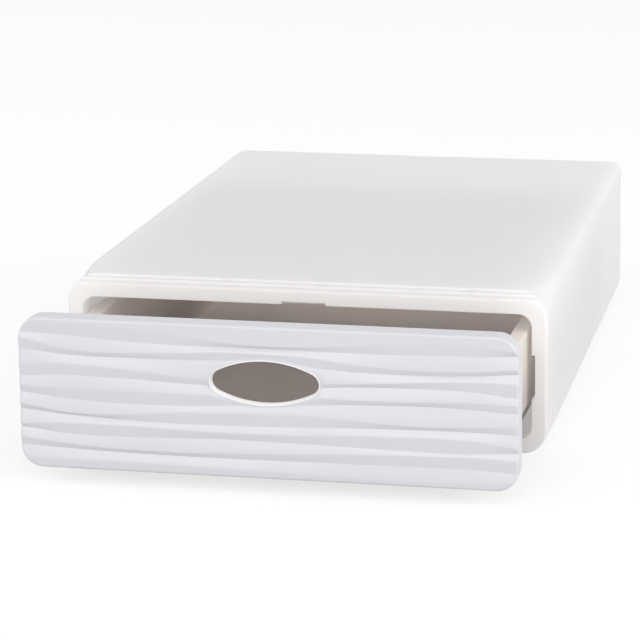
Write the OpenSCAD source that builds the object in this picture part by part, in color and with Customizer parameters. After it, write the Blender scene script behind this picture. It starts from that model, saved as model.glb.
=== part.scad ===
// Stackable drawer box: a moulded case, a slide-in tray and a snapped-on
// front panel with a wave relief and an oval hand hole.
// Millimetres. +Z is up, the front faces -Y, +X is to the viewer's right.
// The origin is the middle of the case's underside.

/* [Case] */
// Outside width of the case at its front rim
case_w = 270; // [255:1:290]
// Depth of the case from rim to back
case_d = 370; // [340:5:400]
// Height of the case
case_h = 89; // [86:1:96]
// Thickness of the case's walls
case_wall = 2.5; // [2:0.1:3]
// How far each side closes in towards the back, as mould draft
case_draft = 5.5; // [1:0.5:6]
// Corner radius of the front rim
rim_corner = 14; // [13:0.5:16]
// Radius of the two upper edges behind the shoulder
top_corner = 6; // [5:0.5:8]
// Radius of the two lower edges
low_corner = 12; // [11:0.5:13]
// Depth of the thick collar round the opening
collar_depth = 12; // [10:1:16]
// Rounding of the rim's outer edge
rim_round = 2.2; // [1:0.1:3]

/* [Opening] */
// Width of the case wall beside the opening
rim_side = 8.5; // [8:0.5:10]
// Height of the sill under the opening
rim_low = 8; // [7:0.5:9]
// Height of the opening
opening_h = 70.3; // [68:0.1:74]
// Corner radius of the opening
opening_corner = 7.5; // [6:0.5:9]

/* [Stacking details] */
// Drop of each of the two steps in front of the stacking face
step_drop = 1.25; // [0.6:0.05:1.5]
// Distance of the first step from the front
step_front = 7; // [5:0.5:8]
// Distance between the two steps
step_pitch = 4.5; // [3:0.5:6]
// Length of the notches that take the joining clips
clip_length = 25; // [15:1:35]
// Depth of the clip notches into the rim
clip_depth = 2; // [1:0.1:2.5]

/* [Front panel] */
// Width of the front panel
panel_w = 268; // [250:1:268]
// Height of the front panel
panel_h = 82.4; // [80:0.1:82.5]
// Thickness of the front panel with its skirt
panel_t = 12; // [11:0.5:14]
// Height of the panel's lower edge above the base
panel_z = 7.5; // [6.5:0.5:8]
// Corner radius of the front panel
panel_corner = 12; // [11:0.5:14]
// Thickness of the skirt round the panel
skirt_wall = 2.2; // [2:0.1:2.5]
// Thickness of the panel's skin at the wave crests
skin_t = 3.2; // [3:0.1:3.6]
// Height of the waves
wave_h = 1.4; // [0.8:0.1:1.5]
// Rounding of the panel's front edge
panel_round = 2.6; // [1.5:0.1:3]

/* [Hand hole] */
// Length of the oval hand hole
hole_l = 58.5; // [50:0.5:64]
// Height of the oval hand hole
hole_h = 23.5; // [18:0.5:25]
// Radius of the hole's two ends
hole_tip = 7.3; // [5:0.1:8.5]
// Height of the hole's centre above the panel's lower edge
hole_z = 52; // [50:0.5:53]
// Width of the smooth collar round the hole
hole_collar = 4; // [2:0.5:6]

/* [Tray] */
// Length of the tray behind the panel
tray_l = 350; // [320:5:355]
// Width of the tray's body
tray_w = 236; // [228:1:238]
// Height of the tray's rim above the base
tray_top = 69; // [60:1:72]
// Height of the tray's underside above the base
tray_low = 10; // [9.5:0.1:11]
// Thickness of the tray's walls
tray_wall = 2.2; // [1.8:0.1:2.6]
// Plan radius of the tray's rear corners
tray_corner = 14; // [10:1:18]
// Overall width of the tray across its rolled rim
tray_rim_w = 248; // [244:1:249]

/* [Position] */
// How far the drawer stands out of the case
pulled_out = 81; // [0:1:250]

/* [Hidden] */
$fn = 64;
eps = 0.01;
facet_fn = 48;

front = -case_d / 2;
rim_top = case_h - 2 * step_drop;
shoulder_end = 48;
cavity_corner = 11.5;
opening_w = case_w - 2 * rim_side;
opening_top = rim_low + opening_h;

shut_gap = 0.6;
panel_front = front - shut_gap - panel_t - pulled_out;
skirt_end = panel_front + panel_t;
skin_back = panel_front + skin_t;
plate_y = skin_back + 0.1;
plate_t = 2.2;
plate_gap = 0.25;
tray_y = plate_y + plate_t;

rail_h = 2.4;
rail_start = 40;
rail_gap = 0.6;
lip_low = 27;
lip_wall = 1.8;
floor_rail_x = 80;

// ---------------------------------------------------------------- outlines

// Upright outline, standing on y = 0, with its own upper and lower radii
module upright(w, h, r_top, r_low) {
    polygon([
        [-w / 2 + r_low, 0], [w / 2 - r_low, 0], [w / 2, r_low], [w / 2, h - r_top],
        [w / 2 - r_top, h], [-w / 2 + r_top, h], [-w / 2, h - r_top], [-w / 2, r_low]
    ]);
    for (side = [-1, 1]) {
        translate([side * (w / 2 - r_low), r_low]) circle(r_low);
        translate([side * (w / 2 - r_top), h - r_top]) circle(r_top);
    }
}

// Rounded rectangle about the origin
module plate(w, h, r) {
    translate([0, -h / 2]) upright(w, h, r, r);
}

// Four-centred oval about the origin
module oval(l, h, tip) {
    reach = l / 2 - tip;
    big = (h * h / 4 + reach * reach - tip * tip) / (h - 2 * tip);
    tangent_x = big * reach / (big - tip);
    for (side = [-1, 1]) translate([side * reach, 0]) circle(tip);
    intersection() {
        translate([0, h / 2 - big]) circle(big, $fn = 180);
        translate([0, big - h / 2]) circle(big, $fn = 180);
        square([2 * tangent_x, h], center = true);
    }
}

// Carries an outline drawn in X and Z back along Y, from y, over a length
module run_back(y, length) {
    translate([0, y + length, 0]) rotate([90, 0, 0]) linear_extrude(length) children();
}

// Sweeps a profile (outward, forward) round a rounded rectangle that stands
// in the X-Z plane at depth y with its centre at height z
module frame_sweep(w, h, r, y, z) {
    translate([0, y, z]) rotate([90, 0, 0]) for (k = [0:3]) {
        along = k % 2 == 0 ? w : h;
        across = k % 2 == 0 ? h : w;
        rotate([0, 0, 90 * k]) {
            translate([along / 2 - r, across / 2 - r, 0])
                rotate_extrude(angle = 90) translate([r, 0]) children();
            rotate([90, 0, 0]) linear_extrude(across - 2 * r, center = true)
                translate([along / 2, 0]) children();
        }
    }
}

// Waste to cut from a front edge so that it is left round; the profile's
// origin is the sharp edge
module edge_waste(r) {
    difference() {
        translate([-r, -r]) square(r + 1);
        translate([-r, -r]) circle(r);
    }
}

// -------------------------------------------------------------------- case

// One cross-section of the case's outside at a distance behind the rim
module case_section(back, r_top) {
    inset = case_draft * back / case_d;
    run_back(front + back, eps)
        upright(case_w - 2 * inset, case_h, r_top, low_corner, $fn = facet_fn);
}

module case_outside() {
    difference() {
        run_back(front, step_front)
            upright(case_w, rim_top, rim_corner, rim_corner);
        frame_sweep(case_w, rim_top, rim_corner, front, rim_top / 2)
            edge_waste(rim_round);
    }
    difference() {
        union() {
            hull() {
                case_section(step_front - eps, rim_corner);
                case_section(shoulder_end, top_corner);
            }
            hull() {
                case_section(shoulder_end, top_corner);
                case_section(case_d - eps, top_corner);
            }
        }
        translate([-case_w / 2, front, rim_top + step_drop])
            cube([case_w, step_front + step_pitch, case_h]);
    }
}

// The space behind the collar, closed in like the outside
module cavity() {
    inset = case_draft * (case_d - case_wall) / case_d;
    w = case_w - 2 * case_wall;
    h = case_h - 2 * case_wall;
    hull() {
        translate([0, 0, case_wall]) run_back(front + collar_depth, eps)
            upright(w, h - 2, cavity_corner, cavity_corner, $fn = facet_fn);
        translate([0, 0, case_wall]) run_back(front + case_d - case_wall - eps, eps)
            upright(w - 2 * inset, h, top_corner - case_wall, cavity_corner, $fn = facet_fn);
    }
}

module clip_notches() {
    side_z = rim_top / 2;
    translate([-clip_length / 2, front - 1, opening_top - 1])
        cube([clip_length, 6, clip_depth + 1]);
    translate([-clip_length / 2, front - 1, rim_low - clip_depth])
        cube([clip_length, 6, clip_depth + 1]);
    for (side = [-1, 1])
        translate([side * opening_w / 2 - clip_depth, front - 1, side_z - clip_length / 2])
            cube([2 * clip_depth, collar_depth + 2, clip_length]);
    translate([-clip_length / 2, front + case_d - clip_depth, case_h - clip_depth])
        cube([clip_length, clip_depth + 1, clip_depth + 1]);
}

// Rails on the floor that carry the tray, and side rails under its long lips
module case_rails() {
    start = front + collar_depth - 1;
    length = case_d - collar_depth - case_wall + 1.5;
    inner = tray_w / 2 + 1.5;
    side_z = lip_low - rail_gap - rail_h;
    for (side = [-1, 1]) {
        translate([side * floor_rail_x - 3, start, case_wall - 0.5])
            cube([6, length, rim_low - case_wall + 0.5]);
        difference() {
            translate([side > 0 ? inner : -133, front + rail_start, side_z])
                cube([133 - inner, case_d - rail_start - case_wall + 0.5, rail_h]);
            translate([side * inner, front + rail_start, side_z + rail_h / 2]) rotate([0, 0, 45])
                cube([4, 4, 10], center = true);
        }
    }
}

module case() {
    color("whitesmoke") {
        difference() {
            case_outside();
            run_back(front - 1, collar_depth + 2) translate([0, rim_low])
                upright(opening_w, opening_h, opening_corner, opening_corner);
            cavity();
            clip_notches();
        }
        intersection() {
            case_rails();
            translate([-case_w / 2 + case_draft + 1, front + 1, 1])
                cube([case_w - 2 * case_draft - 2, case_d - 2, case_h - 2]);
        }
    }
}

// -------------------------------------------------------------------- tray

module hand_hole(y, length, grow = 0) {
    run_back(y, length) translate([0, panel_z + hole_z])
        oval(hole_l + 2 * grow, hole_h + 2 * grow, hole_tip + grow);
}

// Places of the snap hooks that join the panel to the tray's front plate
HOOKS = [for (side = [-1, 1]) for (z = [30, 58]) [side * 126, z]];

module tray_plan(grow) {
    y0 = tray_y - plate_t / 2;
    y1 = tray_y + tray_l;
    w = tray_w + 2 * grow;
    r = tray_corner + grow;
    translate([-w / 2, y0]) square([w, tray_l + plate_t / 2 - tray_corner]);
    translate([-w / 2 + r, y0]) square([w - 2 * r, y1 + grow - y0]);
    for (side = [-1, 1]) translate([side * (w / 2 - r), y1 + grow - r]) circle(r);
}

// Rolled rim: a flat flange with a turned-down lip, open along the front.
// The lip is short at the rear and reaches far down along the sides.
module tray_rim() {
    overhang = (tray_rim_w - tray_w) / 2;
    difference() {
        translate([0, 0, tray_top - 6]) linear_extrude(6) tray_plan(overhang);
        translate([0, 0, tray_top - 7]) linear_extrude(8) tray_plan(-tray_wall);
        translate([0, 0, tray_top - 7]) difference() {
            linear_extrude(5) tray_plan(overhang - lip_wall);
            translate([0, 0, -1]) linear_extrude(7) tray_plan(-eps);
        }
    }
    for (side = [-1, 1])
        translate([side > 0 ? tray_rim_w / 2 - lip_wall : -tray_rim_w / 2, tray_y - 1, lip_low])
            cube([lip_wall, tray_l - tray_corner, tray_top - 4 - lip_low]);
}

module tray_box() {
    difference() {
        translate([0, 0, tray_low]) linear_extrude(tray_top - tray_low) tray_plan(0);
        translate([0, 0, tray_low + tray_wall]) linear_extrude(tray_top) tray_plan(-tray_wall);
    }
}

// Skids that run on the floor rails, and stops that meet the sill at full pull
module tray_skids() {
    for (side = [-1, 1]) {
        translate([side * floor_rail_x - 1.5, skirt_end + 1, rim_low + 0.6])
            cube([3, tray_y + tray_l - tray_corner - skirt_end - 1, tray_low - rim_low]);
        translate([side * 50 - 10, front + collar_depth + 260.5 - pulled_out, 4.5])
            cube([20, 2.5, tray_low - 4]);
    }
}

module tray_plate() {
    w = panel_w - 2 * skirt_wall - 2 * plate_gap;
    h = panel_h - 2 * skirt_wall - 2 * plate_gap;
    difference() {
        run_back(plate_y, plate_t) translate([0, panel_z + panel_h / 2])
            plate(w, h, panel_corner - skirt_wall - plate_gap);
        for (hook = HOOKS) translate([hook[0], plate_y, hook[1]]) cube([3.2, 6, 9.2], center = true);
    }
}

module drawer_tray() {
    color("ivory") difference() {
        union() {
            tray_plate();
            tray_box();
            tray_rim();
            tray_skids();
        }
        hand_hole(plate_y - 1, plate_t + 3);
    }
}

// ------------------------------------------------------------- front panel

// Places across the panel at which the waves' heights are given
STATIONS = [for (k = [-3:3]) k * panel_w / 6];
// Foot of each wave above the panel's lower edge, at each station
FEET = [
    [73.5, 70, 68.5, 68, 68, 69, 69.5],
    [63.5, 60, 61, 62.5, 58.5, 58, 60.5],
    [48.5, 49.5, 48, 49, 50, 51, 48.5],
    [39.5, 36, 36, 39, 40.5, 42, 40],
    [30.5, 27, 25.5, 27, 27.5, 29, 28.5],
    [20, 17.5, 18.5, 19, 18, 17.5, 19],
    [12, 9, 8, 9, 9, 9.5, 9]
];
// Height of the slope from each wave's crest down to its foot
SLOPES = [
    [1.5, 6.5, 4.5, 1.5, 4.5, 5, 2.5],
    [3, 2.5, 3, 2.5, 3, 2, 2.5],
    [5.5, 4.5, 3.5, 2.5, 2, 3, 7.5],
    [3, 6, 6, 3, 2, 2, 4],
    [1.5, 1.5, 6, 7, 5, 2, 5],
    [1.5, 5.5, 4.5, 3.5, 6, 7, 3],
    [3, 2.5, 2.5, 3.5, 5, 6, 7]
];
crest_steps = [0, 0.12, 0.4, 1];
upper_steps = [0, 0.05, 0.15, 0.37, 1];
lower_steps = [0, 0.12, 0.4, 0.71, 0.88, 0.96, 1];
slope_step = 0.55;
columns = 44;
corner_columns = [4, 7, 9.4, 10.9, 11.65, 12];
skin_inset = 0.05;
// Half height within which the rows aren't drawn in towards the corners
squeeze_from = 18;

// Smooth curve through a list of values that are evenly spaced across the panel
function through(values, x) =
    let(
        last = len(values) - 1,
        place = max(0, min(last, (x + panel_w / 2) / panel_w * last)),
        k = min(last - 1, floor(place)),
        t = place - k,
        a = values[max(0, k - 1)], b = values[k], c = values[k + 1], d = values[min(last, k + 2)]
    )
    b + t * ((c - a) / 2 + t * (a - 2.5 * b + 2 * c - d / 2 + t * (1.5 * (b - c) + (d - a) / 2)));

// Upper end, crest and foot of a wave at x; the last one ends at the lower edge
function wave_top(k, x) = k == 0 ? panel_h : through(FEET[k - 1], x);
function wave_foot(k, x) = k == len(FEET) ? 0 : through(FEET[k], x);
function wave_crest(k, x) = k == len(FEET) ? 0 : wave_foot(k, x) + through(SLOPES[k], x);

// Rows of the relief from the top down: [wave, height share, share of the slope]
ROWS = [for (k = [0:len(FEET)])
    each concat(
        [for (t = k == 0 ? upper_steps : k == len(FEET) ? lower_steps : crest_steps) [k, t, 0]],
        k == len(FEET) ? [] : [[k, 1, slope_step]]
    )];

function row_z(row, x) =
    let(top = wave_top(row[0], x), crest = wave_crest(row[0], x), foot = wave_foot(row[0], x))
    row[2] > 0 ? crest + (foot - crest) * row[2] : top + (crest - top) * row[1];

// How far each row stands out, from 0 at a foot to 1 at a crest
function row_relief(row) =
    row[2] > 0 ? 1 - pow(row[2], 1.6) :
    row[0] == 0 ? 1 : 1 - pow(1 - row[1], 2.4);

// Draws the rows in where the panel's corners cut its height
function squeezed(z, x) =
    let(
        over = max(0, abs(x) - panel_w / 2 + panel_corner),
        half = panel_h / 2 - panel_corner + sqrt(max(0, pow(panel_corner, 2) - over * over)),
        d = z - panel_h / 2,
        share = (half - squeeze_from) / (panel_h / 2 - squeeze_from)
    )
    abs(d) < squeeze_from ? z : panel_h / 2 + sign(d) * (squeeze_from + (abs(d) - squeeze_from) * share);

// Distance of a point of the panel's face from the panel's outline
function from_edge(x, z) =
    let(
        p = abs(x) - panel_w / 2 + panel_corner,
        q = abs(z - panel_h / 2) - panel_h / 2 + panel_corner
    )
    panel_corner - norm([max(p, 0), max(q, 0)]) - min(max(p, q), 0);

function edge_drop(inset) =
    inset >= panel_round ? 0
    : panel_round - sqrt(max(0, pow(panel_round, 2) - pow(panel_round - inset, 2)));

// Share of the relief that is left near the hand hole's collar
function fade(x, z) =
    let(
        q = norm([x / (hole_l / 2 + hole_collar), (z - hole_z) / (hole_h / 2 + hole_collar)]),
        t = max(0, min(1, (q - 1) / 0.3))
    )
    t * t * (3 - 2 * t);

function skin_point(row, x) =
    let(
        z = squeezed(row_z(row, x), x),
        wave_drop = wave_h * (1 - row_relief(row)) * fade(x, z),
        shrink_x = 1 - 2 * skin_inset / panel_w,
        shrink_z = 1 - 2 * skin_inset / panel_h
    )
    [
        x * shrink_x,
        panel_front + max(wave_drop, edge_drop(from_edge(x, z))),
        panel_z + panel_h / 2 + (z - panel_h / 2) * shrink_z
    ];

module wave_skin() {
    flat_half = panel_w / 2 - panel_corner;
    xs = concat(
        [for (i = [len(corner_columns) - 1:-1:0]) -flat_half - corner_columns[i]],
        [for (i = [0:columns]) (2 * i / columns - 1) * flat_half],
        [for (c = corner_columns) flat_half + c]
    );
    n = len(xs);
    m = len(ROWS);
    skin = [for (row = ROWS) for (x = xs) skin_point(row, x)];
    edge = concat(
        [for (i = [0:n - 1]) i],
        [for (j = [1:m - 1]) j * n + n - 1],
        [for (i = [n - 2:-1:0]) (m - 1) * n + i],
        [for (j = [m - 2:-1:1]) j * n]
    );
    count = len(edge);
    low = 2 * n + m - 3;
    polyhedron(
        points = concat(skin, [for (k = edge) [skin[k][0], skin_back, skin[k][2]]]),
        faces = concat(
            [for (j = [0:m - 2]) for (i = [0:n - 2]) each [
                [j * n + i, j * n + i + 1, (j + 1) * n + i + 1],
                [j * n + i, (j + 1) * n + i + 1, (j + 1) * n + i]
            ]],
            [for (k = [0:count - 1])
                [edge[k], n * m + k, n * m + (k + 1) % count, edge[(k + 1) % count]]],
            // The flat back: two fans at the ends and one strip between them
            [for (k = [n - 1:n + m - 2]) [n * m + n - 2, n * m + k + 1, n * m + k]],
            [for (k = [count - m:count - 1]) [n * m + 1, n * m + (k + 1) % count, n * m + k]],
            [for (i = [1:n - 3]) [n * m + i, n * m + low - i, n * m + i + 1]],
            [for (i = [1:n - 3]) [n * m + low - i, n * m + low - i - 1, n * m + i + 1]]
        )
    );
}

module panel_outline(inset) {
    translate([0, panel_z + panel_h / 2])
        plate(panel_w - 2 * inset, panel_h - 2 * inset, panel_corner - inset);
}

// Snap hooks that reach through the tray's front plate and grip its back
module panel_hooks() {
    for (hook = HOOKS) {
        translate([hook[0] - 1, skin_back - 0.5, hook[1] - 4]) cube([2, plate_t + 2.9, 8]);
        translate([hook[0] + sign(hook[0]) * 1.2, tray_y + 1.2, hook[1]]) cube([1.6, 1.8, 8], center = true);
    }
}

module front_panel() {
    color("lavender") difference() {
        union() {
            wave_skin();
            difference() {
                run_back(skin_back - 0.4, panel_t - skin_t + 0.4) panel_outline(0);
                run_back(skin_back - 1, panel_t) panel_outline(skirt_wall);
            }
            panel_hooks();
        }
        hand_hole(panel_front - 1, skin_t + 2);
    }
}

case();
drawer_tray();
front_panel();
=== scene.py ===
"""Looks of a stackable drawer box: a moulded case, a slide-in tray and a wave-relief front panel."""

import logging
import math
from contextlib import contextmanager
from dataclasses import dataclass, field
from enum import Enum
from typing import Callable, ClassVar, Iterator, Sequence

import bmesh
import bpy
from mathutils import Matrix, Vector


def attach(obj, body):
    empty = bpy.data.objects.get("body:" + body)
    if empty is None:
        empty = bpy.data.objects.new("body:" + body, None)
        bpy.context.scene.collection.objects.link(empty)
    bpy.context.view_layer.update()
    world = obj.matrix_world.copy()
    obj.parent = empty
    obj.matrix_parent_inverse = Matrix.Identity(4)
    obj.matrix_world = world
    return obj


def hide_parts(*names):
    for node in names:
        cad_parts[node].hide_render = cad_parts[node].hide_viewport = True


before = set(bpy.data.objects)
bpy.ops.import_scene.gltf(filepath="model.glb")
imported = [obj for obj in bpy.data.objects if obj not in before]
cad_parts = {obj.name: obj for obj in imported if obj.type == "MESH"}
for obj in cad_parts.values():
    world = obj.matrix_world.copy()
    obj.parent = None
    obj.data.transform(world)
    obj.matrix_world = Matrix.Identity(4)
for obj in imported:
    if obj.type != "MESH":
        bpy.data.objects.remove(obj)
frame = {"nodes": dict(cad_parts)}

LOG = logging.getLogger("drawer_box")
MM = 0.001
MERGE = 0.000004  # metres within which points are merged
SLIVER = 0.000002  # metres under which an edge is dissolved
Point = tuple[float, float, float]
Ring = list[Point]
Levels = list[tuple[float, float, float]]


def eased(share: float) -> float:
    """A smooth step from 0 to 1 while the share goes from 0 to 1."""
    share = min(1.0, max(0.0, share))
    return share * share * (3 - 2 * share)


# ---- shader nodes


class Sum:
    """A socket that takes part in sums: each operator adds a Math node."""

    def __init__(self, sheet: "NodeSheet", socket: bpy.types.NodeSocket) -> None:
        """Wraps a socket of a node sheet.

        Args:
            sheet: The sheet that the Math nodes are added to.
            socket: The socket that holds the value.
        """
        self.sheet = sheet
        self.socket = socket

    def _math(self, operation: str, first: object, second: object) -> "Sum":
        """Adds one Math node.

        Args:
            operation: The node's operation.
            first: Its first value or Sum.
            second: Its second value or Sum.

        Returns:
            The node's result.
        """
        out = self.sheet.node("ShaderNodeMath", {"operation": operation}, {0: first, 1: second})
        return Sum(self.sheet, out.outputs[0])

    def __add__(self, other: object) -> "Sum":
        """Returns self + other."""
        return self._math("ADD", self, other)

    def __radd__(self, other: object) -> "Sum":
        """Returns other + self."""
        return self._math("ADD", other, self)

    def __sub__(self, other: object) -> "Sum":
        """Returns self - other."""
        return self._math("SUBTRACT", self, other)

    def __rsub__(self, other: object) -> "Sum":
        """Returns other - self."""
        return self._math("SUBTRACT", other, self)

    def __mul__(self, other: object) -> "Sum":
        """Returns self * other."""
        return self._math("MULTIPLY", self, other)

    def __rmul__(self, other: object) -> "Sum":
        """Returns other * self."""
        return self._math("MULTIPLY", other, self)


class NodeSheet:
    """A node tree that is built up with one method for any node."""

    def __init__(self, tree: bpy.types.NodeTree) -> None:
        """Empties the tree that is to be built.

        Args:
            tree: The node tree of a material or of the world.
        """
        self.tree = tree
        self.tree.nodes.clear()

    @classmethod
    def of_material(cls, material: bpy.types.Material) -> "NodeSheet":
        """Starts the node tree of a material."""
        material.use_nodes = True
        return cls(material.node_tree)

    def node(self, kind: str, settings: dict | None = None, inputs: dict | None = None) -> bpy.types.Node:
        """Adds a node, sets it up and fills or links its sockets.

        Args:
            kind: The node's type.
            settings: Its properties by name.
            inputs: Values, sockets or Sums by socket name or number.

        Returns:
            The node.
        """
        made = self.tree.nodes.new(kind)
        for key, value in (settings or {}).items():
            setattr(made, key, value)
        for key, value in (inputs or {}).items():
            socket = made.inputs[key]
            if isinstance(value, Sum):
                value = value.socket
            if isinstance(value, bpy.types.NodeSocket):
                self.tree.links.new(value, socket)
            else:
                socket.default_value = value
        return made


@dataclass(frozen=True)
class MouldedPlastic:
    """Satin injection-moulded plastic that lets some light through its thin walls.

    Attributes:
        name: The material's name.
        colour: Its linear base colour.
        roughness: Its mean roughness.
        grain: Strength of the fine grain.
        milky: Share of the light that passes through a surface.
        floor: Height in metres of the floor on which shade is painted, darker towards the front, if there is
            one.
        painted_shade_share: Share of red, green and blue that the painted shade leaves there.
    """

    NOISES: ClassVar[tuple[tuple[float, float], ...]] = ((9, 3), (60, 4), (1400, 2))
    DARKEST: ClassVar[float] = 0.985
    PALEST: ClassVar[float] = 1.012
    GRAIN_DEPTH: ClassVar[float] = 0.00005
    REFRACTION: ClassVar[float] = 1.49
    # Painted shade on the tray's floor: how high up it fades out, and where along Y it starts and is full.
    PAINTED_SHADE_TOP: ClassVar[float] = 0.045
    PAINTED_SHADE_BACK: ClassVar[float] = 0.08
    PAINTED_SHADE_FRONT: ClassVar[float] = -0.02

    name: str
    colour: Point
    roughness: float = 0.42
    grain: float = 0.10
    milky: float = 0.0
    floor: float | None = None
    painted_shade_share: Point = (0.69, 0.655, 0.665)

    def noise(self, sheet: NodeSheet, place: bpy.types.NodeSocket, scale: float, detail: float) -> Sum:
        """Noise of one size, from 0 to 1.

        Args:
            sheet: The sheet that it is added to.
            place: The object coordinates.
            scale: How many cells it has in a metre.
            detail: How many finer octaves it has.

        Returns:
            The noise.
        """
        made = sheet.node("ShaderNodeTexNoise", None, {"Vector": place, "Scale": scale, "Detail": detail})
        return Sum(sheet, made.outputs["Fac"])

    def step(self, sheet: NodeSheet, along: object, start: float, end: float) -> bpy.types.NodeSocket:
        """A smooth step from 0 to 1.

        Args:
            sheet: The sheet that it is added to.
            along: The coordinate that it follows.
            start: Where it is 0, in metres.
            end: Where it is 1.

        Returns:
            The step.
        """
        ends = {"Value": along, "From Min": start, "From Max": end}
        return sheet.node("ShaderNodeMapRange", {"interpolation_type": "SMOOTHSTEP"}, ends).outputs[0]

    def material(self) -> bpy.types.Material:
        """Builds the node material.

        Returns:
            The material.
        """
        material = bpy.data.materials.new(self.name)
        sheet = NodeSheet.of_material(material)
        place = sheet.node("ShaderNodeTexCoord").outputs["Object"]
        flow, cloud, fine = (self.noise(sheet, place, *size) for size in self.NOISES)
        tint = sheet.node(
            "ShaderNodeMix",
            {"data_type": "RGBA"},
            {
                0: flow * 0.75 + cloud * 0.25,
                6: (*(c * self.DARKEST for c in self.colour), 1),
                7: (*(min(1.0, c * self.PALEST) for c in self.colour), 1),
            },
        ).outputs[2]
        # Painted shade: the floor and the foot of the walls are darkened towards the front, standing in for
        # the shade inside the case.
        if self.floor is not None:
            parts = sheet.node("ShaderNodeSeparateXYZ", None, {0: place}).outputs
            under = Sum(sheet, self.step(sheet, parts["Z"], self.floor + self.PAINTED_SHADE_TOP, self.floor))
            under = under * self.step(sheet, parts["Y"], self.PAINTED_SHADE_BACK, self.PAINTED_SHADE_FRONT)
            dark = (*(c * left for c, left in zip(self.colour, self.painted_shade_share)), 1)
            tint = sheet.node("ShaderNodeMix", {"data_type": "RGBA"}, {0: under, 6: tint, 7: dark}).outputs[2]
        rough = (cloud - 0.5) * 0.10 + (fine - 0.5) * 0.06 + self.roughness
        bump = sheet.node(
            "ShaderNodeBump",
            None,
            {"Strength": self.grain, "Distance": self.GRAIN_DEPTH, "Height": fine * 0.7 + cloud * 0.3},
        ).outputs["Normal"]
        shader = sheet.node(
            "ShaderNodeBsdfPrincipled",
            None,
            {"Base Color": tint, "Roughness": rough, "Normal": bump, "IOR": self.REFRACTION},
        )
        if self.milky:
            glow = sheet.node("ShaderNodeBsdfTranslucent", None, {"Color": tint, "Normal": bump})
            shader = sheet.node(
                "ShaderNodeMixShader", None, {0: self.milky, 1: shader.outputs[0], 2: glow.outputs[0]}
            )
        sheet.node("ShaderNodeOutputMaterial", None, {"Surface": shader.outputs[0]})
        return material


class Finish(Enum):
    """The plastics of the box's three mouldings."""

    CASE = MouldedPlastic("case_plastic", (0.94, 0.932, 0.928), milky=0.46)
    # The tray's floor gets painted shade, darker towards the front.
    TRAY = MouldedPlastic("tray_plastic", (0.91, 0.865, 0.825), milky=0.46, floor=0.0126)
    PANEL = MouldedPlastic("panel_plastic", (0.560, 0.563, 0.596), roughness=0.36, grain=0.07)
    # Painted highlight: the bead round the hand hole is a real rim, but its paler colour, also on the hole's
    # wall, stands in for the light they catch.
    BEAD = MouldedPlastic("bead_highlight_plastic", (0.800, 0.785, 0.772), roughness=0.30, grain=0.05)


# ---- modelling


def select_only(piece: bpy.types.Object) -> None:
    """Makes one object the only selected and the active one.

    Args:
        piece: The object.
    """
    bpy.ops.object.select_all(action="DESELECT")
    piece.select_set(True)
    bpy.context.view_layer.objects.active = piece


@contextmanager
def editing(piece: bpy.types.Object) -> Iterator[bmesh.types.BMesh]:
    """Opens a piece in edit mode with nothing selected.

    Args:
        piece: The mesh object.

    Yields:
        Its edit mesh.
    """
    select_only(piece)
    bpy.ops.object.mode_set(mode="EDIT")
    bpy.ops.mesh.select_all(action="DESELECT")
    yield bmesh.from_edit_mesh(piece.data)
    bpy.ops.object.mode_set(mode="OBJECT")


def added(name: str, add: Callable[..., object], **settings: object) -> bpy.types.Object:
    """Adds a primitive mesh, which is then the only selected and the active object.

    Args:
        name: The piece's name.
        add: The operator that adds it.
        settings: The operator's settings.

    Returns:
        The piece.
    """
    bpy.ops.object.select_all(action="DESELECT")
    add(**settings)
    piece = bpy.context.object
    piece.name = name
    return piece


def carry(shape: bmesh.types.BMesh, slots: dict[int, int], ring: Ring) -> dict[int, int]:
    """Puts the ring that was just extruded in its place.

    Args:
        shape: The edit mesh, with the new ring selected.
        slots: Place round the ring of each vertex of the last ring, by vertex number.
        ring: The new ring's points.

    Returns:
        The same table for the new ring.
    """
    shape.verts.index_update()
    shape.verts.ensure_lookup_table()
    moved = {}
    for vertex in [v for v in shape.verts if v.select]:
        old = next(o for o in (e.other_vert(vertex) for e in vertex.link_edges) if not o.select)
        moved[vertex.index] = slots[old.index]
        vertex.co = ring[slots[old.index]]
    return moved


def loft(name: str, rings: Sequence[Ring]) -> bpy.types.Object:
    """Extrudes a closed ring from station to station and caps both ends.

    Args:
        name: The piece's name.
        rings: The stations in metres, each with the same number of points.

    Returns:
        The closed mesh object.
    """
    count = len(rings[0])
    piece = added(name, bpy.ops.mesh.primitive_circle_add, vertices=count, radius=0.01, fill_type="NOTHING")
    with editing(piece) as shape:
        bpy.ops.mesh.select_mode(type="VERT")
        bpy.ops.mesh.select_all(action="SELECT")
        shape.verts.ensure_lookup_table()
        for i, point in enumerate(rings[0]):
            shape.verts[i].co = point
        slots = {i: i for i in range(count)}
        for ring in rings[1:]:
            bpy.ops.mesh.extrude_edges_move()
            slots = carry(bmesh.from_edit_mesh(piece.data), slots, ring)
        bpy.ops.mesh.edge_face_add()
        bpy.ops.mesh.select_all(action="DESELECT")
        shape = bmesh.from_edit_mesh(piece.data)
        shape.verts.ensure_lookup_table()
        for i in range(count):
            shape.verts[i].select = True
        shape.select_flush(True)
        bpy.ops.mesh.edge_face_add()
        bpy.ops.mesh.select_all(action="SELECT")
        bpy.ops.mesh.normals_make_consistent(inside=False)
    return piece


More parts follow.
